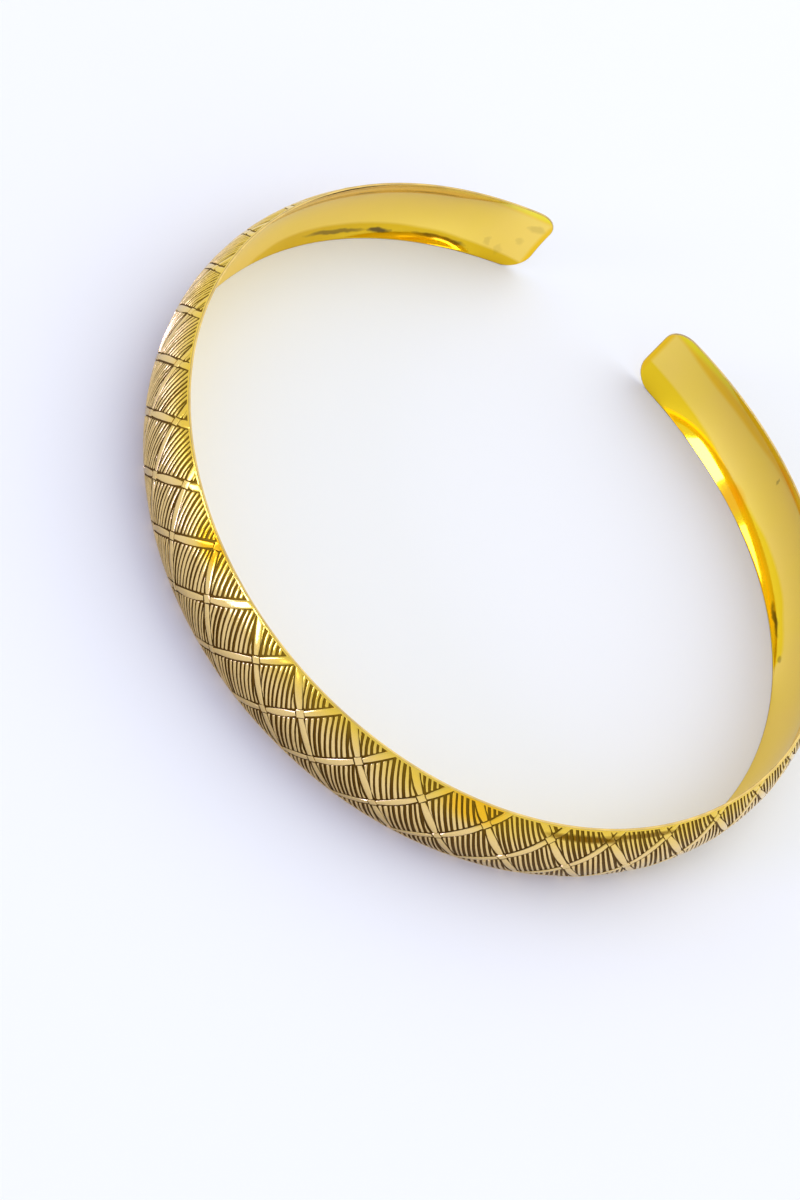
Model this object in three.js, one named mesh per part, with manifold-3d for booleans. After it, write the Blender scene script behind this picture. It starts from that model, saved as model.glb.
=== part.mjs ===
// Torc choker: one open, domed brass band with a raised lattice on its outer face.
// Units are millimetres, +Z up. The band lies on its lower rim, its middle is at -Y and its gap at +Y.
import * as THREE from 'three';
import Module from 'manifold-3d';
import { mergeVertices } from 'three/addons/utils/BufferGeometryUtils.js';

// ---- Driving sizes ----
const BEND_RADIUS = 64;            // mean radius of the band seen from above
const HALF_LENGTH = 181.1;         // half of the band's length, measured along the middle of its wall
// The bend is not a perfect circle: each row adds a wave to its curvature along the band.
const BEND_WAVES = [
  { waves: 1, even: 0.071, odd: 0.0285 },
  { waves: 2, even: 0.0055, odd: -0.043 },
  { waves: 3, even: 0.0575, odd: 0 },
  { waves: 4, even: -0.0245, odd: 0 },
];
// Height of the band: at its middle, and what changes towards the two ends.
const HEIGHT = { middle: 15.3, slope: 0.2, swell: 3.5, pinch: -3.9 };
const RIM_THICKNESS = 0.45;        // flat land of the upper and lower rims
const DOME_OUTSIDE = 2.63;         // how far the outer face bulges past the rims
const DOME_INSIDE = 2.23;          // how deep the inner face is hollowed
const END_FLATTENING = { share: 0.6, length: 20 }; // the dome flattens by this share towards each end
const CORNER_RADIUS = 4.7;         // rounded corners of the two ends
const BORDER = 0.25;               // plain border along the rims and ends
const RELIEF = 0.25;               // height of the straps above the floor of the diamonds

// ---- Lattice ----
const STRAP_WIDTH = 0.95;          // width of a strap between its edges
// How far a strap runs along the band while it climbs half of the band's height.
const RISING = { lean: 6.8, start: -69.6, pitches: [
  { fromStrap: -11, pitch: 11.4 },
  { fromStrap: 1, pitch: 10.35 },
  { fromStrap: 10, pitch: 11.1 },
] };
const FALLING = { lean: -8.4, start: -58.5, pitches: [
  { fromStrap: -11, pitch: 11.6 },
  { fromStrap: 1, pitch: 13.4 },
  { fromStrap: 3, pitch: 9.7 },
  { fromStrap: 4, pitch: 11.4 },
] };
const LAST_STRAP = 24;             // each family runs on to just past the band's end
const SMALLEST_POCKET = 0.35;      // a diamond's cut corner below this area (mm2) stays solid
const SMALLEST_FACE = 0.001;       // slivers below this area (mm2) are dropped from a floor

// ---- Mesh steps ----
const COLUMNS = 60;                // sections along the straight-sided part of the band
const HALF_STEPS = 3;              // extra sections near each end
const CORNER_STEPS = 4;            // sections in each rounded corner
const ROWS = 5;                    // facets across the outer face
const INNER_ROWS = 5;              // facets across the inner face
const BEND_STEPS = 1440;           // steps of the bend's integration
const CORNER_TURNS = [22.5, 45, 67.5]; // degrees at which the floor's corners are cut
const WELD = 1e-5;                 // points closer than this (mm) are one

// ---- The bend: a plane curve worked out from its curvature ----
function curvature(u) {
  let bend = 1;
  for (const { waves, even, odd } of BEND_WAVES) {
    bend += even * Math.cos(waves * Math.PI * u) + odd * Math.sin(waves * Math.PI * u);
  }
  return bend / BEND_RADIUS;
}

function makeBend() {
  const step = (2 * HALF_LENGTH) / BEND_STEPS;
  const half = BEND_STEPS / 2;
  const points = new Array(BEND_STEPS + 1);
  points[half] = { x: 0, y: -BEND_RADIUS, turn: 0 };
  for (const way of [1, -1]) {
    for (let i = 1; i <= half; i += 1) {
      const last = points[half + way * (i - 1)];
      const middle = (way * (i - 0.5)) / half;
      const turn = last.turn + way * step * curvature(middle);
      const heading = (last.turn + turn) / 2;
      points[half + way * i] = {
        x: last.x + way * step * Math.cos(heading),
        y: last.y + way * step * Math.sin(heading),
        turn,
      };
    }
  }
  return points;
}
const BEND = makeBend();

// The place on the bend at distance s from the middle of the band, and its heading.
function bendAt(s) {
  const place = ((s / HALF_LENGTH + 1) / 2) * BEND_STEPS;
  const i = Math.min(BEND_STEPS - 1, Math.max(0, Math.floor(place)));
  const mix = place - i;
  const blend = (key) => BEND[i][key] * (1 - mix) + BEND[i + 1][key] * mix;
  return { x: blend('x'), y: blend('y'), turn: blend('turn') };
}

function heightAt(s) {
  const u = s / HALF_LENGTH;
  return HEIGHT.middle + HEIGHT.slope * u + HEIGHT.swell * u ** 2 + HEIGHT.pinch * u ** 4;
}

// t runs from -1 at the lower rim to 1 at the upper rim; out is the distance outside the bend.
function dome(s, t, depth) {
  const { share, length } = END_FLATTENING;
  const into = Math.max(0, 1 - (HALF_LENGTH - Math.abs(s)) / length);
  return depth * (1 - share * into ** 2 * (3 - 2 * into)) * (1 - t * t);
}
const outerFace = (s, t) => RIM_THICKNESS / 2 + dome(s, t, DOME_OUTSIDE);
const innerFace = (s, t) => -RIM_THICKNESS / 2 + dome(s, t, DOME_INSIDE);
function pointAt(s, t, out) {
  const { x, y, turn } = bendAt(s);
  return [x + out * Math.sin(turn), y - out * Math.cos(turn), (heightAt(s) * (t + 1)) / 2];
}

// ---- Closed meshes and solids ----
const manifold = await Module();
manifold.setup();

function solidFrom(positions, triangles) {
  const raw = new THREE.BufferGeometry();
  raw.setAttribute('position', new THREE.Float32BufferAttribute(positions.flat(), 3));
  raw.setIndex(triangles.flat());
  const merged = mergeVertices(raw, WELD);
  const mesh = new manifold.Mesh({
    numProp: 3,
    vertProperties: new Float32Array(merged.attributes.position.array),
    triVerts: new Uint32Array(merged.index.array),
  });
  return new manifold.Manifold(mesh);
}

function geometryFrom(solid) {
  const mesh = solid.getMesh();
  const geometry = new THREE.BufferGeometry();
  geometry.setAttribute('position', new THREE.BufferAttribute(mesh.vertProperties, 3));
  geometry.setIndex(new THREE.BufferAttribute(mesh.triVerts, 1));
  const faceted = geometry.toNonIndexed();
  faceted.computeVertexNormals();
  return faceted;
}

// ---- The plain band ----
// The rounded corners take this much off the height at s, at the top and at the bottom.
function cornerCut(s) {
  const into = Math.abs(s) - (HALF_LENGTH - CORNER_RADIUS);
  return into > 0 ? CORNER_RADIUS - Math.sqrt(Math.max(0, CORNER_RADIUS ** 2 - into ** 2)) : 0;
}

function sectionPlaces() {
  const straight = HALF_LENGTH - CORNER_RADIUS;
  const step = (2 * straight) / COLUMNS;
  const places = [];
  for (let i = 0; i <= COLUMNS; i += 1) places.push(i * step - straight);
  // Half steps where the dome flattens towards the ends.
  for (let i = 0; i < HALF_STEPS; i += 1) {
    const s = straight - (i + 0.5) * step;
    places.push(-s, s);
  }
  for (let i = 1; i <= CORNER_STEPS; i += 1) {
    const s = straight + CORNER_RADIUS * Math.sin((i / CORNER_STEPS) * (Math.PI / 2));
    places.push(-s, s);
  }
  return places.sort((a, b) => a - b);
}

function bandSection(s) {
  const reach = 1 - (2 * cornerCut(s)) / heightAt(s);
  const ring = [];
  for (let i = 0; i <= ROWS; i += 1) {
    const t = reach * ((2 * i) / ROWS - 1);
    ring.push(pointAt(s, t, outerFace(s, t)));
  }
  for (let i = INNER_ROWS; i >= 0; i -= 1) {
    const t = reach * ((2 * i) / INNER_ROWS - 1);
    ring.push(pointAt(s, t, innerFace(s, t)));
  }
  return ring;
}

function bandSolid() {
  const sections = sectionPlaces().map(bandSection);
  const around = sections[0].length;
  const triangles = [];
  for (let i = 0; i + 1 < sections.length; i += 1) {
    for (let j = 0; j < around; j += 1) {
      const [a, b] = [i * around + j, i * around + ((j + 1) % around)];
      const [c, d] = [a + around, b + around];
      triangles.push([a, c, d], [a, d, b]);
    }
  }
  // The two ends: a strip between the outer and the inner side of the section.
  for (const [first, flip] of [[0, false], [(sections.length - 1) * around, true]]) {
    for (const [p, q, r] of endStrip()) {
      const face = [first + p, first + q, first + r];
      triangles.push(flip ? face.reverse() : face);
    }
  }
  return solidFrom(sections.flat(), triangles);
}

// Triangles of one end, between the outer points 0..ROWS and the inner points, which run back down.
function endStrip() {
  const last = ROWS + 1 + INNER_ROWS;
  const strip = [];
  let i = 0;
  let j = 0;
  while (i < ROWS || j < INNER_ROWS) {
    const outerNext = j === INNER_ROWS || (i < ROWS && (i + 1) / ROWS <= (j + 1) / INNER_ROWS);
    if (outerNext) {
      strip.push([i, i + 1, last - j]);
      i += 1;
    } else {
      strip.push([i, last - j - 1, last - j]);
      j += 1;
    }
  }
  return strip;
}

// ---- The diamonds between the straps, as convex outlines in (s, t) ----
// Keeps the part of a convex outline where along * s + across * t <= limit.
function clip(outline, along, across, limit) {
  const kept = [];
  outline.forEach((p, i) => {
    const q = outline[(i + 1) % outline.length];
    const [dp, dq] = [p, q].map(([s, t]) => along * s + across * t - limit);
    if (dp <= 0) kept.push(p);
    if ((dp < 0 && dq > 0) || (dp > 0 && dq < 0)) {
      const mix = dp / (dp - dq);
      kept.push([p[0] + mix * (q[0] - p[0]), p[1] + mix * (q[1] - p[1])]);
    }
  });
  return kept;
}

function area(outline) {
  let twice = 0;
  outline.forEach(([s, t], i) => {
    const [s2, t2] = outline[(i + 1) % outline.length];
    twice += s * t2 - s2 * t;
  });
  return (Math.abs(twice) / 2) * (HEIGHT.middle / 2);
}

// Where each strap of a family crosses the band's mid-height, from its table of pitches.
function strapPlaces({ start, pitches }) {
  const pitchOf = (strap) => pitches.filter(({ fromStrap }) => fromStrap <= strap).at(-1).pitch;
  const places = new Map([[0, start]]);
  for (let strap = 0; strap < LAST_STRAP; strap += 1) {
    places.set(strap + 1, places.get(strap) + pitchOf(strap));
  }
  for (let strap = -1; strap >= pitches[0].fromStrap; strap -= 1) {
    places.set(strap, places.get(strap + 1) - pitchOf(strap));
  }
  return [...places.values()].sort((a, b) => a - b);
}

// A strap's width measured along the band.
const widthAlong = ({ lean }) => {
  const climb = HEIGHT.middle / 2;
  return (STRAP_WIDTH * Math.hypot(climb, lean)) / climb;
};

// The floor area: inside the plain border, with the corners cut as the ends are.
function floorArea() {
  const t = 1 - (2 * BORDER) / HEIGHT.middle;
  const s = HALF_LENGTH - BORDER;
  let outline = [[-s, -t], [s, -t], [s, t], [-s, t]];
  const climb = HEIGHT.middle / 2;
  const radius = CORNER_RADIUS - BORDER;
  for (const turn of CORNER_TURNS) {
    const [c, n] = [Math.cos(turn * (Math.PI / 180)), Math.sin(turn * (Math.PI / 180))];
    const reach = c * (s - radius) + n * (t * climb - radius) + radius;
    for (const [ws, wt] of [[1, 1], [1, -1], [-1, 1], [-1, -1]]) {
      outline = clip(outline, ws * c, wt * n * climb, reach);
    }
  }
  return outline;
}

function diamonds() {
  const outlines = [];
  const base = floorArea();
  const [rising, falling] = [strapPlaces(RISING), strapPlaces(FALLING)];
  const [halfRising, halfFalling] = [widthAlong(RISING) / 2, widthAlong(FALLING) / 2];
  for (let i = 0; i + 1 < rising.length; i += 1) {
    let lane = clip(base, -1, RISING.lean, -(rising[i] + halfRising));
    lane = clip(lane, 1, -RISING.lean, rising[i + 1] - halfRising);
    for (let j = 0; j + 1 < falling.length && lane.length > 2; j += 1) {
      let diamond = clip(lane, -1, FALLING.lean, -(falling[j] + halfFalling));
      diamond = clip(diamond, 1, -FALLING.lean, falling[j + 1] - halfFalling);
      if (diamond.length > 2 && area(diamond) > SMALLEST_POCKET) outlines.push(diamond);
    }
  }
  return outlines;
}

// ---- A cutter for one diamond: its floor follows the dome, its top stands clear of the band ----
const CUTTER_CLEARANCE = 1;
function cutter(outline) {
  const middle = outline.reduce((sum, [s]) => sum + s, 0) / outline.length;
  const halves = [clip(outline, 1, 0, middle), clip(outline, -1, 0, -middle)];
  const slabs = [];
  for (let i = 0; i < ROWS; i += 1) {
    const [low, high] = [(2 * i) / ROWS - 1, (2 * (i + 1)) / ROWS - 1];
    for (const half of halves) {
      const slab = clip(clip(half, 0, -1, -low), 0, 1, high);
      if (slab.length > 2 && area(slab) > SMALLEST_FACE) slabs.push(slab);
    }
  }
  const names = new Map();
  const places = [];
  const nameOf = ([s, t]) => {
    const key = `${s.toFixed(4)},${t.toFixed(5)}`;
    if (!names.has(key)) {
      names.set(key, places.length);
      places.push([s, t]);
    }
    return names.get(key);
  };
  const floor = [];
  for (const slab of slabs) {
    const ring = slab.map(nameOf).filter((n, i, all) => n !== all[(i + 1) % all.length]);
    for (let i = 1; i + 1 < ring.length; i += 1) floor.push([ring[0], ring[i], ring[i + 1]]);
  }
  const edges = new Set(floor.flatMap(([a, b, c]) => [`${a},${b}`, `${b},${c}`, `${c},${a}`]));
  const count = places.length;
  const triangles = [];
  for (const [a, b, c] of floor) triangles.push([c, b, a], [a + count, b + count, c + count]);
  for (const edge of edges) {
    const [a, b] = edge.split(',').map(Number);
    if (!edges.has(`${b},${a}`)) triangles.push([a, b, b + count], [a, b + count, a + count]);
  }
  const low = places.map(([s, t]) => pointAt(s, t, outerFace(s, t) - RELIEF));
  const high = places.map(([s, t]) => pointAt(s, t, outerFace(s, t) + CUTTER_CLEARANCE));
  return solidFrom([...low, ...high], triangles);
}

function torcBand() {
  let band = bandSolid();
  for (const outline of diamonds()) band = band.subtract(cutter(outline));
  return geometryFrom(band);
}

// ---- The object ----
const brass = new THREE.MeshStandardMaterial({ color: 0xc9a24a, roughness: 0.3, metalness: 1 });
const band = new THREE.Mesh(torcBand(), brass);
band.name = 'torc_band';

// The middle of the object's box stands over the origin.
const box = new THREE.Box3().setFromObject(band);
const middle = box.getCenter(new THREE.Vector3());
band.position.set(-middle.x, -middle.y, 0);

const torc = new THREE.Group();
torc.add(band);
export default torc;
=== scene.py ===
"""Torc choker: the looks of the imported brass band, modelled in full detail around the CAD frame.

The band is drawn on a flat plan first: s runs along the band and w across it, in millimetres, and
out is the height above the middle of the wall. world() then bends that plan into the ring.
"""

import math

import bpy
import numpy as np
from mathutils import Matrix, Vector

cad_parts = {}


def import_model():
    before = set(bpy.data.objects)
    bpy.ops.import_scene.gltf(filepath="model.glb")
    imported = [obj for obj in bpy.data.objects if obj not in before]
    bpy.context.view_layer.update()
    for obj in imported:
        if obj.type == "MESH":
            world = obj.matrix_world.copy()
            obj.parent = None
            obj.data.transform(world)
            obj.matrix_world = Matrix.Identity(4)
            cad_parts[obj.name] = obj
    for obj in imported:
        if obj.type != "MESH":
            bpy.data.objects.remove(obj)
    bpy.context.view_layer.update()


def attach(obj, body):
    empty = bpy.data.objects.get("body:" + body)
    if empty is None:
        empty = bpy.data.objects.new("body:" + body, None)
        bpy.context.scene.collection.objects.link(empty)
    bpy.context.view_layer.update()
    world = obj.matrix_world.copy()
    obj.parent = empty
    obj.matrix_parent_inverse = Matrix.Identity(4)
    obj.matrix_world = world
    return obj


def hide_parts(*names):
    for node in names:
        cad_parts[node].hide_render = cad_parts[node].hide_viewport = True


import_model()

MM = 0.001

# ---- The band's driving sizes, in millimetres, as in the part's source ----
# The half length, the waves, the height and the outer dome are results of a fit to the ring's outline,
# rounded. The straps' leans, starts and pitches below come from a second fit, to their crossings.
BEND_RADIUS = 64.0
HALF_LENGTH = 181.1
# Each row adds a wave to the bend's curvature: waves along the band, even part, odd part.
BEND_WAVES = ((1, 0.071, 0.0285), (2, 0.0055, -0.043), (3, 0.0575, 0.0), (4, -0.0245, 0.0))
HEIGHT_MIDDLE, HEIGHT_SLOPE, HEIGHT_SWELL, HEIGHT_PINCH = 15.3, 0.2, 3.5, -3.9
RIM_THICKNESS = 0.45
DOME_OUTSIDE, DOME_INSIDE = 2.63, 2.23
END_FLATTENING, END_LENGTH = 0.6, 20.0     # the dome flattens by this share towards each end
CORNER_RADIUS = 4.7
RELIEF = 0.25

# ---- The border and the edges, finer than in the part's source ----
EDGE_ROUNDING = 0.15        # rounding of the rims' edges
BORDER = 0.38               # width of the raised border that the ridges run into
BORDER_DROP = 0.035         # how far the border's top is below the straps' tops
BORDER_BEVEL = 0.1

# ---- The lattice ----
CLIMB = HEIGHT_MIDDLE / 2
# Half of the band's width measured over the dome.
HALF_WIDTH = CLIMB * (1 + (2 * DOME_OUTSIDE / CLIMB) ** 2 / 6)
RISING = {"lean": 6.8, "start": -69.6, "pitches": ((-11, 11.4), (1, 10.35), (10, 11.1))}
FALLING = {"lean": -8.4, "start": -58.5, "pitches": ((-11, 11.6), (1, 13.4), (3, 9.7), (4, 11.4))}
LAST_STRAP = 24             # each family runs on to just past the band's end
PAD_MARGIN = 0.35           # crossings nearer than this to the edge have no pad
RIM_SKEW = 1.3              # the cut of a strap's end turns along the rim over this distance
STRAP_WIDTH = 1.12          # between the pads
STRAP_PINCH = 0.74          # width at the pads
LENS_POWER = 0.8            # below 1, a strap swells quickly from the pads
STRAP_BOW = 0.26            # the range of the straps' sideways bows
STRAP_SINK = 0.03           # how much lower the falling straps' tops are than the rising straps'
STRAP_STEP = 0.7            # spacing of a strap's sections
FEWEST_SECTIONS = 6         # in a stretch of a strap
SHORTEST_STRETCH = 0.3
PAD_SIZE = 1.16
PAD_TURN = 48.5             # degrees from the band's length: the pads lie square to the straps
PAD_TURN_RANGE = 14
PAD_CLEARANCE = 0.75        # from a pad's middle to the ends of the straps around it
RUN_OUT = 0.07              # from the band's edge to the ends of the straps and ridges

# ---- The hatching ----
HATCH_TURN = 121.5          # degrees from the band's length to the ridges
HATCH_TURN_RANGE = 6
HATCH_FAN = 5.0             # how much more the ridges lean next to the falling straps
HATCH_PITCH = 0.81
HATCH_BOW = 0.13            # how far the middle of a ridge bows towards the left end
GROOVE_WIDTH = 0.355
GROOVE_TURN_RANGE = 2.4     # degrees
GROOVE_SHIFT_RANGE = 0.12   # in pitches
STRAP_GROOVE = 0.17         # groove between a strap and the hatching
RIDGE_HEIGHT = 0.235
RIDGE_STEP = 1.4            # spacing of a ridge's sections
RIDGE_END_RADIUS = 0.24
RIDGE_END_LEVEL = 0.55      # height of a ridge's tips, in shares of its height
SLIM_LEVEL, FULL_WIDTH = 0.6, 0.35      # a ridge's height goes from this share to 1 with its half width
SLIMMEST_RIDGE = 0.02       # half width
SHORTEST_RIDGE = 3 * RIDGE_END_RADIUS
SMALLEST_RIDGE = 0.16       # mm2

# ---- Unevenness of the hand work: the least share of a size, and the range of shares above it ----
WIDE_SHARES, SLIM_SHARES = (0.92, 0.18), (0.9, 0.25)        # of a strap's widths
PAD_SHARES, PAD_CORNER_SHARES = (0.88, 0.24), (0.95, 0.1)
PITCH_SHARES, GROOVE_SHARES = (0.95, 0.12), (0.66, 0.68)
RIDGE_HEIGHT_SHARES = (0.92, 0.12)


HASH_FACTORS = (12.9898, 78.233, 37.719, 4.581)
HASH_START, HASH_STRETCH = 1.7, 43758.5453


def hashed(*keys):
    """A steady pseudo-random number from 0 to 1 for the given whole numbers."""
    mixed = sum(key * factor for key, factor in zip(keys, HASH_FACTORS))
    return math.sin(mixed + HASH_START) * HASH_STRETCH % 1.0


def share(shares, *keys):
    """A steady pseudo-random share. shares is the least share and the range above it."""
    least, span = shares
    return least + span * hashed(*keys)


def wobble(span, *keys):
    """A steady pseudo-random number from minus half of the span to half of it."""
    return span * (hashed(*keys) - 0.5)


# ---- The bend ----
BEND_STEPS = 2880


def bend_curve(steps):
    """The bent middle line: places along the band, with x, y and the direction there."""
    u = np.linspace(-1, 1, steps + 1)
    curvature = np.ones_like(u)
    for waves, even, odd in BEND_WAVES:
        curvature += even * np.cos(waves * np.pi * u) + odd * np.sin(waves * np.pi * u)
    step = 2 * HALF_LENGTH / steps
    half = steps // 2

    def total(values):
        sums = np.concatenate([[0], np.cumsum((values[1:] + values[:-1]) / 2 * step)])
        return sums - sums[half]

    turn = total(curvature / BEND_RADIUS)
    return u * HALF_LENGTH, total(np.cos(turn)), total(np.sin(turn)) - BEND_RADIUS, turn


BEND_S, BEND_X, BEND_Y, BEND_TURN = bend_curve(BEND_STEPS)


def world(s, w, out):
    """Bends plan points into the ring, in metres and not yet centred."""
    s, w, out = (np.asarray(a, float) for a in (s, w, out))
    x, y, turn = (np.interp(s, BEND_S, a) for a in (BEND_X, BEND_Y, BEND_TURN))
    u = s / HALF_LENGTH
    height = HEIGHT_MIDDLE + HEIGHT_SLOPE * u + HEIGHT_SWELL * u**2 + HEIGHT_PINCH * u**4
    z = height * (w / HALF_WIDTH + 1) / 2
    return np.stack([x + out * np.sin(turn), y - out * np.cos(turn), z], -1) * MM


def dome(s, w, depth):
    """How far a face bulges outwards at a plan point. depth is its bulge in the band's middle."""
    into = np.clip(1 - (HALF_LENGTH - np.abs(s)) / END_LENGTH, 0, 1)
    return depth * (1 - END_FLATTENING * into**2 * (3 - 2 * into)) * (1 - (w / HALF_WIDTH) ** 2)


def outer_face(s, w):
    """Height of the straps' and the border's tops."""
    return RIM_THICKNESS / 2 + dome(s, w, DOME_OUTSIDE)


def inner_face(s, w):
    return -RIM_THICKNESS / 2 + dome(s, w, DOME_INSIDE)


def corner_cut(s):
    """How much the rounded corners of the ends take off the band's half width at s."""
    into = abs(s) - (HALF_LENGTH - CORNER_RADIUS)
    return CORNER_RADIUS - math.sqrt(max(0, CORNER_RADIUS**2 - into**2)) if into > 0 else 0


def from_edge(s, w):
    """Distance of a plan point from the band's outline; negative outside it."""
    into_s = abs(s) - (HALF_LENGTH - CORNER_RADIUS)
    into_w = abs(w) - (HALF_WIDTH - CORNER_RADIUS)
    if into_s > 0 and into_w > 0:
        return CORNER_RADIUS - math.hypot(into_s, into_w)
    return CORNER_RADIUS - max(into_s, into_w)


def rim_drop(s, w):
    """How far the rounding of the edge brings the outer face down at a plan point."""
    short = EDGE_ROUNDING - max(0, from_edge(s, w))
    return EDGE_ROUNDING - math.sqrt(EDGE_ROUNDING**2 - short**2) if short > 0 else 0


# ---- Meshes ----
SHARP_EDGE = 40             # degrees between faces from which an edge stays crisp


def make_mesh(name, plan, faces, tops):
    """A mesh object on the root body, bent from its plan points (s, w, out).

    Its attribute raised says how far each vertex stands out of the grooves, from 0 to 1. Along is
    the place s in millimetres, and across runs from -1 at the lower rim to 1 at the upper rim.
    """
    mesh = bpy.data.meshes.new(name)
    mesh.from_pydata([tuple(p) for p in world(*plan.T)], [], faces)
    fields = {"raised": tops, "along": plan[:, 0], "across": plan[:, 1] / HALF_WIDTH}
    for field, values in fields.items():
        mesh.attributes.new(field, "FLOAT", "POINT").data.foreach_set("value", np.asarray(values, "f"))
    mesh.shade_smooth()
    mesh.set_sharp_from_angle(angle=math.radians(SHARP_EDGE))
    mesh.update()
    obj = bpy.data.objects.new(name, mesh)
    bpy.context.collection.objects.link(obj)
    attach(obj, "root")
    return obj


class Bodies:
    """Collects closed little bodies that are swept through rings of equal size."""

    def __init__(self):
        self.points, self.faces, self.tops, self.count = [], [], [], 0

    def sweep(self, rings, tops):
        """rings: (sections, points around, 3) of (s, w, out). tops: how raised each point is."""
        rings = np.asarray(rings, float)
        sections, around = rings.shape[:2]
        first = self.count
        self.points.append(rings.reshape(-1, 3))
        self.tops.append(np.asarray(tops, float).reshape(-1))
        for i in range(sections - 1):
            for j in range(around):
                a, b = first + i * around + j, first + i * around + (j + 1) % around
                self.faces.append((a, b, b + around, a + around))
        self.faces.append(tuple(first + j for j in reversed(range(around))))
        self.faces.append(tuple(first + (sections - 1) * around + j for j in range(around)))
        self.count += sections * around

    def object(self, name):
        return make_mesh(name, np.concatenate(self.points), self.faces, np.concatenate(self.tops))


# ---- The shell: inner face, rims, border and the floor under the relief ----
STRAIGHT_COLUMNS = 481
CORNER_COLUMNS = 9
SHELL_ROWS = 29
ROUNDING_TURNS = 5          # points around a rim's edge
RIM_FROM_STEP = 4           # the rim's steps from this one on have the rims' material
FLOOR_SLOT, RIM_SLOT, INSIDE_SLOT = 0, 1, 2     # the slots of the shell's materials


def outline_loop(columns, rows):
    """The floor's outline as a closed loop, with its outward direction at each point."""
    s_end, w_top = HALF_LENGTH - BORDER, HALF_WIDTH - BORDER
    radius = CORNER_RADIUS - BORDER
    loop = []

    def top_point(s, side):
        into = abs(s) - (s_end - radius)
        if into <= 0:
            return (s, side * w_top), (0, side)
        lift = math.sqrt(max(0, radius**2 - into**2))
        return (s, side * (w_top - radius + lift)), (math.copysign(into, s) / radius, side * lift / radius)

    loop += [top_point(s, -1) for s in columns]
    end_w = w_top - radius
    loop += [((s_end, end_w * row), (1, 0)) for row in rows[1:-1]]
    loop += [top_point(s, 1) for s in reversed(columns)]
    loop += [((-s_end, end_w * row), (-1, 0)) for row in reversed(rows[1:-1])]
    places, ways = (np.array([pair[k] for pair in loop]) for k in (0, 1))
    return places, ways


def plan_grid(columns, rows):
    """Rows by columns of plan points inside the floor's outline."""
    places, _ = outline_loop(columns, rows)
    top = places[: len(columns), 1] * -1
    s, row = np.meshgrid(columns, rows, indexing="ij")
    return s, row * top[:, None]


def rim_steps():
    """The rings from the floor's outline over the border and the rim to the inner face.

    Each is (distance from the floor's outline, side of the wall, how far below that side's surface).
    """
    rounding = []
    for turn in np.linspace(0, math.pi / 2, ROUNDING_TURNS):
        below = EDGE_ROUNDING * (1 - math.cos(turn))
        rounding.append((BORDER - EDGE_ROUNDING * (1 - math.sin(turn)), below))
    steps = [(0.0, 1, BORDER_DROP + BORDER_BEVEL), (BORDER_BEVEL, 1, BORDER_DROP)]
    steps += [(reach, 1, max(below, BORDER_DROP)) for reach, below in rounding]
    return steps + [(reach, -1, below) for reach, below in reversed(rounding)]


def grid_outline(first, n, m):
    """Indices of the outline of a grid of n columns by m rows, in the order of outline_loop."""
    ids = [first + i * m for i in range(n)]
    ids += [first + (n - 1) * m + j for j in range(1, m - 1)]
    ids += [first + i * m + m - 1 for i in reversed(range(n))]
    ids += [first + j for j in reversed(range(1, m - 1))]
    return ids


def shell():
    """The shell's mesh, and the material slot of each of its faces."""
    straight = HALF_LENGTH - CORNER_RADIUS
    corner_turns = np.linspace(0, math.pi / 2, CORNER_COLUMNS)[1:]
    arc = straight + (CORNER_RADIUS - BORDER) * np.sin(corner_turns)
    columns = [*-arc[::-1], *np.linspace(-straight, straight, STRAIGHT_COLUMNS), *arc]
    rows = list(np.linspace(-1, 1, SHELL_ROWS))
    places, ways = outline_loop(columns, rows)
    n, m = len(columns), len(rows)
    around = len(places)
    grid_s, grid_w = plan_grid(columns, rows)
    floor = outer_face(grid_s, grid_w) - RELIEF
    hollow = inner_face(grid_s, grid_w)
    steps = rim_steps()
    points = [np.stack([grid_s, grid_w, floor], -1).reshape(-1, 3)]
    tops = [np.zeros(n * m)]
    for reach, side, below in steps:
        plan = places + ways * reach
        surface = outer_face(*plan.T) if side > 0 else inner_face(*plan.T)
        points.append(np.column_stack([plan, surface - side * below]))
        tops.append(np.ones(around))
    points.append(np.stack([grid_s, grid_w, hollow], -1).reshape(-1, 3))
    tops.append(np.ones(n * m))

    last = n * m + len(steps) * around
    rings = [grid_outline(0, n, m)]
    rings += [[n * m + k * around + i for i in range(around)] for k in range(len(steps))]
    rings += [grid_outline(last, n, m)]
    faces = []
    for low, high in zip(rings, rings[1:]):
        for i in range(around):
            k = (i + 1) % around
            faces.append((low[i], high[i], high[k], low[k]))
    for i in range(n - 1):
        for j in range(m - 1):
            a = i * m + j
            faces.append((a, a + m, a + m + 1, a + 1))
            faces.append((last + a, last + a + 1, last + a + m + 1, last + a + m))
    obj = make_mesh("band_shell", np.concatenate(points), faces, np.concatenate(tops))
    first_rim, first_inside = n * m + RIM_FROM_STEP * around, n * m + (len(steps) - 1) * around
    slots = []
    for face in faces:
        rim_or_floor = RIM_SLOT if min(face) >= first_rim else FLOOR_SLOT
        slots.append(INSIDE_SLOT if min(face) >= first_inside else rim_or_floor)
    return obj, slots


# ---- Straps ----
EDGE_SAMPLES = 400          # places across the band at which a strap's ends are looked for
EDGE_SLACK = 0.01           # allowed there, in millimetres


def strap_places(family):
    """Where each strap crosses the band's middle, by strap number."""
    pitches = family["pitches"]

    def pitch_of(strap):
        return [pitch for first, pitch in pitches if first <= strap][-1]

    places = {0: family["start"]}
    for strap in range(LAST_STRAP):
        places[strap + 1] = places[strap] + pitch_of(strap)
    for strap in range(-1, pitches[0][0] - 1, -1):
        places[strap] = places[strap + 1] - pitch_of(strap)
    return dict(sorted(places.items()))


RISING_PLACES, FALLING_PLACES = strap_places(RISING), strap_places(FALLING)


def strap_s(family, place, w):
    """Where a strap is along the band, at w across it."""
    return place + family["lean"] * w / HALF_WIDTH


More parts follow.
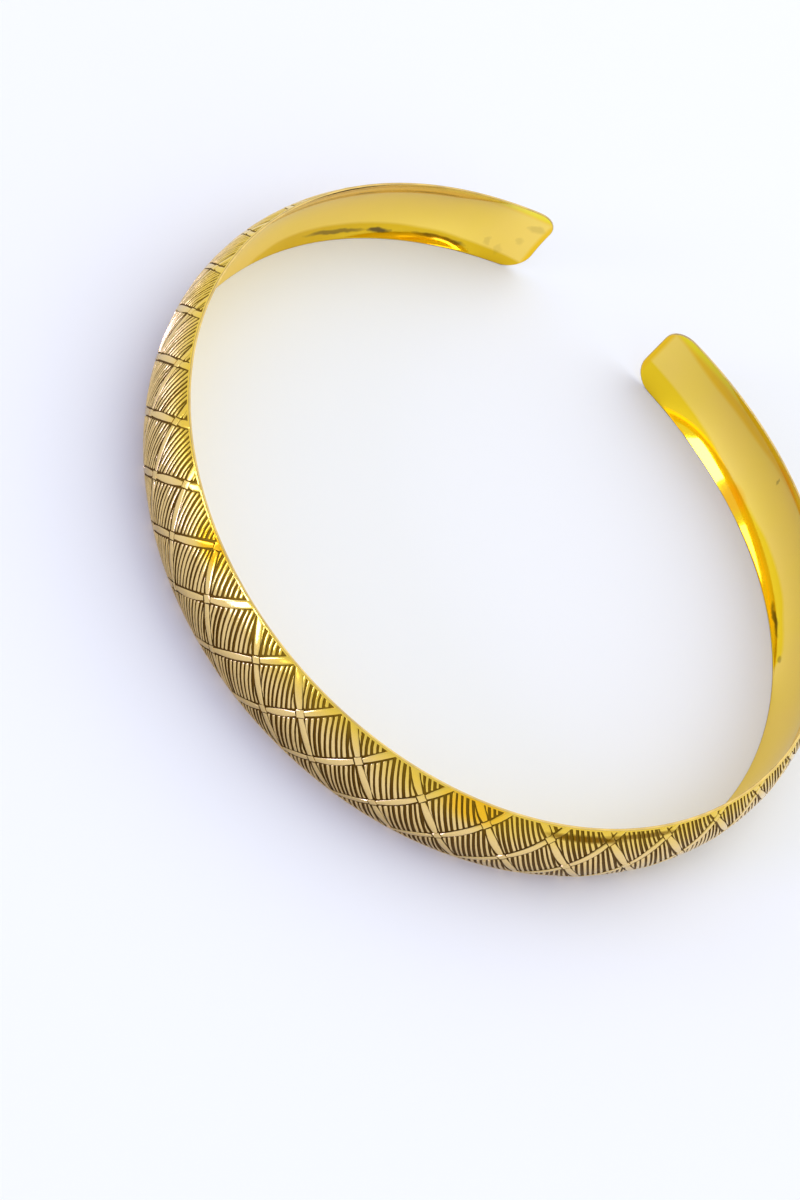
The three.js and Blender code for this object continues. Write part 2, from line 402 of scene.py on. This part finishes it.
def crossing(rising_place, falling_place):
    """Where two straps cross, on the plan."""
    w = HALF_WIDTH * (falling_place - rising_place) / (RISING["lean"] - FALLING["lean"])
    return strap_s(RISING, rising_place, w), w


def held_inside(s, w):
    """Brings a plan point that is outside the band's outline back to just inside it."""
    s = max(RUN_OUT - HALF_LENGTH, min(HALF_LENGTH - RUN_OUT, s))
    reach = HALF_WIDTH - RUN_OUT - corner_cut(s)
    return s, max(-reach, min(reach, w))


# Half of a strap's section from its foot to the middle of its top: (place across, level).
STRAP_SIDE = ((1, -0.5), (1, 0.66), (0.86, 0.93), (0.5, 1))


def both_sides(side):
    """A whole section from its right half: from the left foot over the top to the right foot."""
    return tuple((-place, level) for place, level in side) + tuple(reversed(side))


def swept(bodies, sections, profile):
    """A raised bar. Each section is its middle (s, w), its half width, the way across and its height."""
    rings, tops = [], []
    for (s, w), half, (across_s, across_w), height in sections:
        ring = []
        for side, level in profile:
            ps, pw = held_inside(s + across_s * side * half, w + across_w * side * half)
            ring.append((ps, pw, outer_face(ps, pw) - RELIEF + level * height - rim_drop(ps, pw)))
        rings.append(ring)
        tops.append([max(level, 0) * min(1, height / RELIEF) for _, level in profile])
    bodies.sweep(rings, tops)


def strap_stretches(family, place, others):
    """The stretches of one strap between its pads: (w from, w to, starts at a rim, ends at a rim)."""
    slope = family["lean"] / HALF_WIDTH
    clear = PAD_CLEARANCE / math.hypot(1, slope)
    reach = HALF_WIDTH - RUN_OUT
    fine = np.linspace(-reach, reach, EDGE_SAMPLES)
    inside = [w for w in fine if from_edge(strap_s(family, place, w), w) > RUN_OUT - EDGE_SLACK]
    if not inside:
        return []
    low, high = inside[0], inside[-1]
    pairs = [(place, other) if family is RISING else (other, place) for other in others.values()]
    knots = [crossing(*pair) for pair in pairs]
    knots = sorted(w for s, w in knots if from_edge(s, w) > PAD_MARGIN and low < w < high)
    stretches = []
    starts = [(low, True)] + [(w + clear, False) for w in knots]
    ends = [(w - clear, False) for w in knots] + [(high, True)]
    for (start, from_rim), (end, to_rim) in zip(starts, ends):
        if end - start > SHORTEST_STRETCH:
            stretches.append((start, end, from_rim, to_rim))
    return stretches


def straps(name, family, places, others, sink):
    """The straps of one family. Each stretch between two pads is slim at the pads and wide between."""
    bodies = Bodies()
    slope = family["lean"] / HALF_WIDTH
    length = math.hypot(1, slope)
    square_across = np.array((1 / length, -slope / length))
    rim_across = np.array((length, 0))
    key = 1 if family is RISING else 2
    for strap, place in places.items():
        for n, (start, end, from_rim, to_rim) in enumerate(strap_stretches(family, place, others)):
            wide = STRAP_WIDTH * share(WIDE_SHARES, strap, n, key, 0)
            slim = STRAP_PINCH * share(SLIM_SHARES, strap, n, key, 1)
            bow = wobble(STRAP_BOW, strap, n, key, 2)
            steps = max(FEWEST_SECTIONS, round((end - start) * length / STRAP_STEP))
            sections = []
            for p in 0.5 - 0.5 * np.cos(np.linspace(0, math.pi, steps)):
                # The lens swells from each pad; towards a rim it stays wide.
                swell = min(p if not from_rim else 1, 1 - p if not to_rim else 1, 0.5) * 2
                half = (slim + (wide - slim) * math.sin(swell * math.pi / 2) ** LENS_POWER) / 2
                w = start + (end - start) * p
                # At a rim the strap is cut along the rim, elsewhere square to its run.
                skew = max(0, 1 - (HALF_WIDTH - RUN_OUT - abs(w)) / RIM_SKEW)
                across = square_across * (1 - skew) + rim_across * skew
                side = bow * math.sin(math.pi * p)
                middle = (strap_s(family, place, w) + square_across[0] * side, w + square_across[1] * side)
                sections.append((middle, half, across, RELIEF - sink))
            swept(bodies, sections, both_sides(STRAP_SIDE))
    return bodies.object(name)


PAD_LEVELS = ((1, -0.3), (1, 0.78), (0.94, 0.99), (0.8, 1.03))      # (size, level) from the foot up
CUT = 0.92                  # where a pad's cut corners start, in shares of its half size
PAD_OUTLINE = ((-1, -CUT), (-CUT, -1), (CUT, -1), (1, -CUT), (1, CUT), (CUT, 1), (-CUT, 1), (-1, CUT))


def pads():
    """Small square pads where the straps cross."""
    bodies = Bodies()
    for i, rising in RISING_PLACES.items():
        for j, falling in FALLING_PLACES.items():
            s, w = crossing(rising, falling)
            if from_edge(s, w) < PAD_MARGIN:
                continue
            turn = math.radians(PAD_TURN + wobble(PAD_TURN_RANGE, i, j, 1))
            c, n = math.cos(turn), math.sin(turn)
            half_s = PAD_SIZE / 2 * share(PAD_SHARES, i, j, 2)
            half_w = PAD_SIZE / 2 * share(PAD_SHARES, i, j, 3)
            rings, tops = [], []
            for size, level in PAD_LEVELS:
                ring = []
                for k, (a, b) in enumerate(PAD_OUTLINE):
                    uneven = size * share(PAD_CORNER_SHARES, i, j, k, 4)
                    ps, pw = held_inside(s + uneven * (half_s * a * c - half_w * b * n),
                                         w + uneven * (half_s * a * n + half_w * b * c))
                    ring.append((ps, pw, outer_face(ps, pw) - RELIEF + RELIEF * level - rim_drop(ps, pw)))
                rings.append(ring)
                tops.append([max(0, level)] * len(ring))
            bodies.sweep(rings, tops)
    return bodies.object("lattice_pads")


# ---- Hatching ----
def clip(outline, along, across, limit):
    """Keeps the part of a convex outline where along * s + across * w <= limit."""
    kept = []
    for p, q in zip(outline, outline[1:] + outline[:1]):
        dp, dq = (along * a + across * b - limit for a, b in (p, q))
        if dp <= 0:
            kept.append(p)
        if dp * dq < 0:
            mix = dp / (dp - dq)
            kept.append((p[0] + mix * (q[0] - p[0]), p[1] + mix * (q[1] - p[1])))
    return kept


def area(outline):
    return abs(sum(p[0] * q[1] - q[0] * p[1] for p, q in zip(outline, outline[1:] + outline[:1]))) / 2


CORNER_TURNS = (22.5, 45, 67.5)         # degrees at which the outline's corners are cut


def floor_outline():
    """The area of the hatching, which runs out into the rounding of the edges."""
    s, w = HALF_LENGTH - RUN_OUT, HALF_WIDTH - RUN_OUT
    outline = [(-s, -w), (s, -w), (s, w), (-s, w)]
    radius = CORNER_RADIUS - RUN_OUT
    for turn in CORNER_TURNS:
        c, n = math.cos(math.radians(turn)), math.sin(math.radians(turn))
        reach = c * (s - radius) + n * (w - radius) + radius
        for ws, ww in ((1, 1), (1, -1), (-1, 1), (-1, -1)):
            outline = clip(outline, ws * c, ww * n, reach)
    return outline


def diamonds():
    """The floors between the straps: (rising strap, falling strap, outline)."""
    base = floor_outline()
    slopes = [family["lean"] / HALF_WIDTH for family in (RISING, FALLING)]
    halves = [(STRAP_WIDTH / 2 + STRAP_GROOVE) * math.hypot(1, slope) for slope in slopes]
    rising, falling = list(RISING_PLACES.items()), list(FALLING_PLACES.items())
    for (i, low), (_, high) in zip(rising, rising[1:]):
        lane = clip(base, -1, slopes[0], -(low + halves[0]))
        lane = clip(lane, 1, -slopes[0], high - halves[0])
        for (j, left), (_, right) in zip(falling, falling[1:]):
            diamond = clip(lane, -1, slopes[1], -(left + halves[1])) if len(lane) > 2 else []
            diamond = clip(diamond, 1, -slopes[1], right - halves[1]) if len(diamond) > 2 else []
            if len(diamond) > 2:
                yield i, j, diamond


def ridge_outlines(i, j, diamond):
    """Cuts a diamond into ridges by a fan of grooves: (outline, angle of the ridge)."""
    turn = HATCH_TURN + wobble(HATCH_TURN_RANGE, i, j, 2)
    across = (math.sin(math.radians(turn)), -math.cos(math.radians(turn)))
    reach = [across[0] * s + across[1] * w for s, w in diamond]
    low, high = min(reach), max(reach)
    pitch = HATCH_PITCH * share(PITCH_SHARES, i, j, 3)
    count = max(1, round((high - low) / pitch))
    middle_s, middle_w = (sum(p[k] for p in diamond) / len(diamond) for k in (0, 1))
    middle_reach = across[0] * middle_s + across[1] * middle_w
    grooves = []
    for k in range(count + 1):
        place = k / count
        fan = HATCH_FAN * (2 * place - 1) ** 2
        angle = math.radians(turn + fan + wobble(GROOVE_TURN_RANGE, i, j, k, 4))
        step = low + (high - low) * place + wobble(GROOVE_SHIFT_RANGE * pitch, i, j, k, 5) - middle_reach
        through = (middle_s + across[0] * step, middle_w + across[1] * step)
        way = (math.sin(angle), -math.cos(angle))
        half = GROOVE_WIDTH / 2 * share(GROOVE_SHARES, i, j, k, 6)
        limit = way[0] * through[0] + way[1] * through[1]
        grooves.append((*way, limit - half, limit + half, angle))
    for (way_s, way_w, _, start, angle), (next_s, next_w, end, _, next_angle) in zip(grooves, grooves[1:]):
        ridge = clip(diamond, -way_s, -way_w, -start)
        ridge = clip(ridge, next_s, next_w, end) if len(ridge) > 2 else []
        if len(ridge) > 2 and area(ridge) > SMALLEST_RIDGE:
            yield ridge, (angle + next_angle) / 2


def width_at(outline, run):
    """Where a convex outline of (run, side) points starts and ends across, at one run."""
    sides = []
    for (r0, q0), (r1, q1) in zip(outline, outline[1:] + outline[:1]):
        if (r0 - run) * (r1 - run) <= 0 and abs(r1 - r0) > 1e-9:
            sides.append(q0 + (q1 - q0) * (run - r0) / (r1 - r0))
    return min(sides), max(sides)


# Half of a ridge's section from its foot to the middle of its top: (place across, level).
RIDGE_SIDE = ((1, -0.5), (1, 0.5), (0.76, 0.9), (0.35, 1))
# Places of a ridge's sections in its rounded end and of the first one after it, in end radii.
ROUND_STEPS, FIRST_STEP = (0.04, 0.3, 0.75), 1.3


def ridge_runs(start, end):
    """Where a ridge has its sections along its run."""
    rounds = [step * RIDGE_END_RADIUS for step in ROUND_STEPS]
    first = FIRST_STEP * RIDGE_END_RADIUS
    inner = np.linspace(start + first, end - first, max(2, round((end - start) / RIDGE_STEP) + 1))
    return [start + step for step in rounds] + list(inner) + [end - step for step in reversed(rounds)]


def hatching(name, side):
    """The raised hatching of the diamonds on one half of the band."""
    bodies = Bodies()
    for i, j, diamond in diamonds():
        if (sum(s for s, _ in diamond) >= 0) != (side > 0):
            continue
        for k, (ridge, angle) in enumerate(ridge_outlines(i, j, diamond)):
            way, across = (math.cos(angle), math.sin(angle)), (math.sin(angle), -math.cos(angle))
            local = [(s * way[0] + w * way[1], s * across[0] + w * across[1]) for s, w in ridge]
            start, end = min(r for r, _ in local), max(r for r, _ in local)
            if end - start < SHORTEST_RIDGE:
                continue
            height = RIDGE_HEIGHT * share(RIDGE_HEIGHT_SHARES, i, j, k, 8)
            sections = []
            for run in ridge_runs(start, end):
                low, high = width_at(local, run)
                near = min(run - start, end - run, RIDGE_END_RADIUS)
                rounded = math.sqrt(RIDGE_END_RADIUS**2 - (RIDGE_END_RADIUS - near) ** 2)
                half = min((high - low) / 2, rounded if near < RIDGE_END_RADIUS else math.inf)
                half = max(SLIMMEST_RIDGE, half)
                q = (low + high) / 2 - HATCH_BOW * math.sin(math.pi * (run - start) / (end - start))
                middle = (run * way[0] + q * across[0], run * way[1] + q * across[1])
                tip = RIDGE_END_LEVEL + (1 - RIDGE_END_LEVEL) * near / RIDGE_END_RADIUS
                level = height * min(1, tip) * min(1, SLIM_LEVEL + half / FULL_WIDTH)
                sections.append((middle, half, across, level))
            swept(bodies, sections, both_sides(RIDGE_SIDE))
    return bodies.object(name)


# ---- Materials ----
# Dark and warm marks, in ovals: place along in mm, place across, half length in mm, half height across,
# strength. The warm marks, the outer dark marks and the inner dark marks along the lower rim are painted
# reflections of the surroundings, and so are the yellow bands. The other inner dark marks are faint
# patches.
INNER_DARK_REFLECTIONS_AND_PATCHES = (
    (148.0, 0.44, 0.35, 0.13, 0.45),
    (126.0, -0.85, 3.6, 0.055, 0.85),
    (117.5, -0.84, 1.0, 0.05, 0.5),
    (-140.5, -0.79, 7.5, 0.06, 0.7),
    (-150.2, -0.80, 2.8, 0.075, 0.95),
    (-163.0, -0.79, 5.5, 0.065, 0.75),
    (-166.8, -0.81, 1.9, 0.075, 0.8),
    (-172.2, -0.50, 0.8, 0.14, 0.16),
    (-175.0, -0.62, 0.9, 0.20, 0.12),
    (-177.2, -0.16, 1.0, 0.14, 0.14),
    (-178.4, 0.42, 1.6, 0.18, 0.2),
)
INNER_ORANGE_REFLECTION = ((151.3, -0.84, 3.6, 0.30, 1.0),)
OUTER_DARK_REFLECTIONS = (
    (35.5, 0.80, 8.5, 0.09, 1.0),
    (46.0, 0.86, 9.0, 0.06, 0.85),
)
OUTER_ORANGE_REFLECTIONS = (
    (-42.0, 0.84, 4.8, 0.27, 1.0),
    (15.5, 0.86, 6.0, 0.36, 0.9),
)
OVAL_EDGE = (0.25, 1.1)     # an oval fades out between these squares of the distance from its middle

# Where the inner face's yellow bands, painted reflections, start: (place along, distance across from its
# middle).
LOWER_REFLECTION_BAND = (
    (-181, 0.82), (-160, 0.62), (-140, 0.62), (-122, 0.86), (-110, 1.1), (110, 1.1), (118, 0.76),
    (126, 0.65), (136, 0.54), (147, 0.61), (154, 0.64), (161, 0.56), (170, 0.44), (181, 0.34),
)
UPPER_REFLECTION_BAND = (
    (-181, 0.72), (0, 0.70), (140, 0.66), (151, 0.58), (163, 0.44), (171, 0.52), (178, 0.70), (181, 0.74),
)
DEEP_REFLECTION_BAND = (-110.0, -130.0)            # the lower band deepens between these places along
END_EDGE = (HALF_LENGTH - 1.4, HALF_LENGTH - 0.7)       # the ends' yellow edge comes in between these

# ---- Noise, roughness and bump ----
NOISE_RANGE = (0.3, 0.7)    # noise is mostly between these
CLOUD_RANGE = (0.35, 0.65)  # two colours change over in clouds between these
POLISHED, RUBBED = (0.05, 0.09), (0.28, 0.42)           # roughness
COAT, COAT_ROUGHNESS = 0.4, 0.04
BUMP_DEPTH = 0.00004        # metres

# ---- Base colours ----
GOLD = ((1.0, 0.725, 0.14), (1.0, 0.74, 0.11))          # the inner face goes between these in clouds
# Painted reflections on the inner face: the lower band's yellows, then the upper band's and the ends' edge
# colours.
REFLECTED_BAND_YELLOW, REFLECTED_BAND_DEEP = (0.97, 0.675, 0.008), (0.80, 0.52, 0.004)
REFLECTED_EDGE_DEEP, REFLECTED_EDGE_YELLOW = (0.96, 0.60, 0.008), (0.98, 0.82, 0.01)
# Painted reflections inside: an orange one, and dark ones, whose colour also makes faint darker patches.
INNER_REFLECTED_ORANGE, INNER_DARK_REFLECTION_AND_PATCH = (1.0, 0.55, 0.015), (0.12, 0.075, 0.01)
RIMS = ((0.50, 0.36, 0.14), (0.66, 0.48, 0.17))         # and the rims between these
# Towards the upper rim the relief's tops turn yellow and its grooves olive: a painted reflection.
TOPS_PALE, TOPS_REFLECTED_YELLOW = (0.90, 0.65, 0.27), (0.92, 0.64, 0.085)
GROOVES_BROWN, GROOVES_REFLECTED_OLIVE = (0.13, 0.060, 0.001), (0.24, 0.135, 0.002)
# Painted reflections near the upper rim outside: orange ones, and dark ones.
OUTER_REFLECTED_ORANGE, OUTER_REFLECTED_DARK = (1.0, 0.56, 0.02), (0.25, 0.12, 0.003)
FLOOR = (0.905, 0.918, 0.965)


class Graph:
    """Short forms for the node tree of one material."""

    def __init__(self, name):
        self.material = bpy.data.materials.new(name)
        self.material.use_nodes = True
        self.nodes, self.links = self.material.node_tree.nodes, self.material.node_tree.links
        self.shader = self.nodes["Principled BSDF"]

    def set(self, socket, value):
        """Links a socket to another node's output or gives it a number."""
        if isinstance(value, bpy.types.NodeSocket):
            self.links.new(value, socket)
        else:
            socket.default_value = value

    def attribute(self, name):
        node = self.nodes.new("ShaderNodeAttribute")
        node.attribute_name = name
        return node.outputs["Fac"]

    def noise(self, scale, detail):
        """Noise over the object, mostly from 0.3 to 0.7. scale is in features per metre."""
        coords = self.nodes.new("ShaderNodeTexCoord")
        node = self.nodes.new("ShaderNodeTexNoise")
        node.inputs["Scale"].default_value = scale
        node.inputs["Detail"].default_value = detail
        self.links.new(coords.outputs["Object"], node.inputs["Vector"])
        return node.outputs["Fac"]

    def math(self, operation, first, second):
        node = self.nodes.new("ShaderNodeMath")
        node.operation = operation
        self.set(node.inputs[0], first)
        self.set(node.inputs[1], second)
        return node.outputs["Value"]

    def map_range(self, value, start, end, low, high):
        node = self.nodes.new("ShaderNodeMapRange")
        for socket, number in (("From Min", start), ("From Max", end), ("To Min", low), ("To Max", high)):
            node.inputs[socket].default_value = number
        self.set(node.inputs["Value"], value)
        return node.outputs["Result"]

    def wander(self, scale, amount):
        """Noise from about -amount to amount."""
        return self.map_range(self.noise(scale, 3.0), *NOISE_RANGE, -amount, amount)

    def clouds(self, scale, detail, colours):
        """Two colours mixed by noise."""
        return self.mix(self.map_range(self.noise(scale, detail), *CLOUD_RANGE, 0.0, 1.0), *colours)

    def polish(self, scale, roughness):
        """Lets the roughness go between two values with noise."""
        value = self.map_range(self.noise(scale, 3.0), *NOISE_RANGE, *roughness)
        self.set(self.shader.inputs["Roughness"], value)

    def mix(self, factor, first, second):
        """Mixes two colours; a colour is three numbers or another node's output."""
        node = self.nodes.new("ShaderNodeMix")
        node.data_type = "RGBA"
        self.set(node.inputs["Factor"], factor)
        for socket, colour in (("A", first), ("B", second)):
            self.set(node.inputs[socket], (*colour, 1) if isinstance(colour, tuple) else colour)
        return node.outputs["Result"]

    def profile(self, along, table):
        """A smooth line through a table of (place along in mm, value from 0 to 2)."""
        node = self.nodes.new("ShaderNodeFloatCurve")
        node.mapping.clip_max_y = 2
        points = node.mapping.curves[0].points
        for s, value in table[1:-1]:
            points.new((s / HALF_LENGTH + 1) / 2, value)
        points[0].location = (0, table[0][1])
        points[-1].location = (1, table[-1][1])
        node.mapping.update()
        self.set(node.inputs["Value"], self.map_range(along, -HALF_LENGTH, HALF_LENGTH, 0.0, 1.0))
        return node.outputs["Value"]

    def ovals(self, along, across, table):
        """How strongly a table of ovals covers each place."""
        cover = 0.0
        for s, t, half_length, half_height, strength in table:
            terms = []
            for place, middle, half in ((along, s, half_length), (across, t, half_height)):
                off = self.math("DIVIDE", self.math("SUBTRACT", place, middle), half)
                terms.append(self.math("MULTIPLY", off, off))
            oval = self.map_range(self.math("ADD", *terms), *OVAL_EDGE, strength, 0.0)
            cover = self.math("MAXIMUM", oval, cover)
        return cover

    def bump(self, height, strength):
        node = self.nodes.new("ShaderNodeBump")
        node.inputs["Distance"].default_value = BUMP_DEPTH
        node.inputs["Strength"].default_value = strength
        self.set(node.inputs["Height"], height)
        self.set(self.shader.inputs["Normal"], node.outputs["Normal"])


def polished_brass():
    """The smooth inner face: warm gold with painted reflections on it, a yellow lower and a yellow upper
    band.
    """
    graph = Graph("polished_brass")
    shader = graph.shader
    shader.inputs["Metallic"].default_value = 1.0
    along, across = graph.attribute("along"), graph.attribute("across")
    gold = graph.clouds(70.0, 4.0, GOLD)
    # How far each place is inside the bands, in shares of the band's half width.
    place = graph.math("ADD", across, graph.wander(60.0, 0.02))
    low = graph.math("ADD", place, graph.profile(along, LOWER_REFLECTION_BAND))
    high = graph.math("SUBTRACT", place, graph.profile(along, UPPER_REFLECTION_BAND))
    lower = graph.map_range(low, 0.03, -0.05, 0.0, 1.0)
    upper = graph.map_range(high, -0.03, 0.10, 0.0, 1.0)
    end = graph.map_range(graph.math("ABSOLUTE", along, 0.0), *END_EDGE, 0.0, 1.0)
    deep = graph.map_range(along, *DEEP_REFLECTION_BAND, 0.0, 1.0)
    # Painted reflections: the yellow lower band, deeper in the far arm, then the upper band and the ends'
    # yellow edge.
    colour = graph.mix(lower, gold, graph.mix(deep, REFLECTED_BAND_YELLOW, REFLECTED_BAND_DEEP))
    edge = graph.mix(graph.map_range(across, 0.72, 0.88, 0.0, 1.0), REFLECTED_EDGE_DEEP, REFLECTED_EDGE_YELLOW)
    colour = graph.mix(graph.math("MAXIMUM", upper, end), colour, edge)
    # A painted orange reflection low in the right arm.
    colour = graph.mix(graph.ovals(along, across, INNER_ORANGE_REFLECTION), colour, INNER_REFLECTED_ORANGE)
    # Noise makes the edges of the painted dark reflections and of the faint dark patches uneven.
    marks = graph.ovals(graph.math("ADD", along, graph.wander(420.0, 0.6)),
                        graph.math("ADD", across, graph.wander(380.0, 0.025)), INNER_DARK_REFLECTIONS_AND_PATCHES)
    colour = graph.mix(marks, colour, INNER_DARK_REFLECTION_AND_PATCH)
    graph.set(shader.inputs["Base Color"], colour)
    graph.polish(400.0, POLISHED)
    # A thin clear lacquer, which keeps the highlights of the polish pale.
    shader.inputs["Coat Weight"].default_value = COAT
    shader.inputs["Coat Roughness"].default_value = COAT_ROUGHNESS
    graph.bump(graph.noise(110.0, 1.0), 0.4)
    return graph.material


def rubbed_brass():
    """The rims: dull and a little brown, as rubbed by handling."""
    graph = Graph("rubbed_brass")
    shader = graph.shader
    shader.inputs["Metallic"].default_value = 1.0
    graph.set(shader.inputs["Base Color"], graph.clouds(300.0, 3.0, RIMS))
    graph.polish(500.0, RUBBED)
    return graph.material


def patinated_brass():
    """The relief: worn pale tops over dark brown grooves. Towards the upper rim both turn yellower, a
    painted reflection.
    """
    graph = Graph("patinated_brass")
    shader = graph.shader
    along, across = graph.attribute("along"), graph.attribute("across")
    raised = graph.math("ADD", graph.attribute("raised"), graph.wander(900.0, 0.1))
    place = graph.math("ADD", across, graph.wander(90.0, 0.14))
    # Painted reflection: towards the upper rim the tops turn yellow and the grooves olive.
    yellow = graph.map_range(place, 0.42, 0.9, 0.0, 1.0)
    tops = graph.mix(yellow, TOPS_PALE, TOPS_REFLECTED_YELLOW)
    # Painted orange reflections near the upper rim.
    tops = graph.mix(graph.ovals(along, across, OUTER_ORANGE_REFLECTIONS), tops, OUTER_REFLECTED_ORANGE)
    # Painted dark reflections near the upper rim.
    tops = graph.mix(graph.ovals(along, across, OUTER_DARK_REFLECTIONS), tops, OUTER_REFLECTED_DARK)
    grooves = graph.mix(yellow, GROOVES_BROWN, GROOVES_REFLECTED_OLIVE)
    worn = graph.map_range(raised, 0.35, 0.8, 0.0, 1.0)
    graph.set(shader.inputs["Base Color"], graph.mix(worn, grooves, tops))
    graph.set(shader.inputs["Metallic"], graph.map_range(raised, 0.2, 0.7, 0.85, 1.0))
    graph.set(shader.inputs["Roughness"], graph.map_range(raised, 0.2, 0.85, 0.6, 0.14))
    graph.bump(graph.noise(1500.0, 2.0), 0.35)
    return graph.material


# ---- Studio ----
FLOOR_SIZE = 8.0
SKY_LOW, SKY_HIGH = (0.88, 0.88, 0.905), (0.73, 0.765, 0.895)    # radiance near the horizon and overhead
SKY_CHANGE = (0.18, 0.5)    # sines of the elevations between which it changes
# name, azimuth from +X, elevation, distance, width and height, radiance, bounces. The windows pass on
# no bounces, so that their highlights on the gold don't tint the floor.
SOFTBOXES = (
    ("key", 55, 50, 2.2, (3.0, 3.0), (0.91, 0.85, 0.50), 64),
    ("window_near", -134.5, 10.5, 2.2, (0.56, 0.62), (8.0, 8.0, 19.0), 0),
    ("window_far", -165, 7.5, 2.2, (0.7, 0.50), (4.0, 3.9, 8.5), 0),
    ("window_small", -115, 14.5, 2.2, (0.2, 0.26), (1.35, 1.3, 1.3), 0),
)


def studio():
    """A pale floor under a soft sky, one big soft light and low windows to the left."""
    bpy.ops.mesh.primitive_plane_add(size=FLOOR_SIZE)
    floor = bpy.context.object
    floor.name = "floor"
    pale = Graph("pale_floor")
    pale.shader.inputs["Base Color"].default_value = (*FLOOR, 1)
    pale.shader.inputs["Roughness"].default_value = 0.8
    floor.data.materials.append(pale.material)
    sky = bpy.data.worlds.new("sky")
    bpy.context.scene.world = sky
    sky.use_nodes = True
    nodes, links = sky.node_tree.nodes, sky.node_tree.links
    coords = nodes.new("ShaderNodeTexCoord")
    split = nodes.new("ShaderNodeSeparateXYZ")
    ramp = nodes.new("ShaderNodeValToRGB")
    for element, place, colour in zip(ramp.color_ramp.elements, SKY_CHANGE, (SKY_LOW, SKY_HIGH)):
        element.position, element.color = place, (*colour, 1)
    links.new(coords.outputs["Generated"], split.inputs["Vector"])
    links.new(split.outputs["Z"], ramp.inputs["Fac"])
    links.new(ramp.outputs["Color"], nodes["Background"].inputs["Color"])
    bpy.context.scene.view_settings.view_transform = "Standard"
    for name, azimuth, elevation, distance, size, radiance, bounces in SOFTBOXES:
        data = bpy.data.lights.new(name, "AREA")
        data.shape = "RECTANGLE"
        data.size, data.size_y = size
        data.color = [value / radiance[0] for value in radiance]
        data.energy = radiance[0] * math.pi * size[0] * size[1]
        data.cycles.max_bounces = bounces
        lamp = bpy.data.objects.new(name, data)
        bpy.context.collection.objects.link(lamp)
        turn, rise = math.radians(azimuth), math.radians(elevation)
        way = Vector((math.cos(turn) * math.cos(rise), math.sin(turn) * math.cos(rise), math.sin(rise)))
        lamp.location = way * distance
        lamp.rotation_euler = way.to_track_quat("Z", "Y").to_euler()
        lamp.visible_camera = False


# The camera's place before the ring is centred, in millimetres, and its turns in degrees: from looking
# straight down it rolls, then tilts up, then turns to its heading. It was fitted along with the bend.
CAMERA_PLACE = (-81.57, -360.06, 341.98)
CAMERA_ROLL, CAMERA_TILT, CAMERA_HEADING = 44.465, 45.353, -12.578


def camera(middle):
    """The camera, moved with the ring. middle is the ring's middle before it is centred."""
    data = bpy.data.cameras.new("camera")
    data.lens = 90.0
    data.sensor_width = 36.0
    data.clip_start = 0.01
    obj = bpy.data.objects.new("camera", data)
    bpy.context.collection.objects.link(obj)
    x, y, z = (value * MM for value in CAMERA_PLACE)
    place = Matrix.Translation((x - middle[0], y - middle[1], z))
    for angle, axis in ((CAMERA_HEADING, "Z"), (CAMERA_TILT, "X"), (CAMERA_ROLL, "Z")):
        place = place @ Matrix.Rotation(math.radians(angle), 4, axis)
    obj.matrix_world = place
    bpy.context.scene.camera = obj


# ---- Assembly ----
studio()
shell_piece, shell_slots = shell()
rising_piece = straps("rising_straps", RISING, RISING_PLACES, FALLING_PLACES, 0.0)
falling_piece = straps("falling_straps", FALLING, FALLING_PLACES, RISING_PLACES, STRAP_SINK)
pad_piece = pads()
left_hatch = hatching("hatching_left", -1)
right_hatch = hatching("hatching_right", 1)
pieces = [shell_piece, rising_piece, falling_piece, pad_piece, left_hatch, right_hatch]

# The ring is centred as the CAD model is: its box stands over the origin.
everything = np.array([v.co for piece in pieces for v in piece.data.vertices])
middle = (everything.min(0) + everything.max(0)) / 2
for piece in pieces:
    piece.data.transform(Matrix.Translation((-middle[0], -middle[1], 0)))
camera(middle)

patinated = patinated_brass()
for piece in pieces:
    piece.data.materials.append(patinated)
for material in (rubbed_brass(), polished_brass()):
    shell_piece.data.materials.append(material)
shell_piece.data.polygons.foreach_set("material_index", shell_slots)
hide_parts("torc_band")
for piece in pieces:
    print("triangles", piece.name, sum(len(p.vertices) - 2 for p in piece.data.polygons))
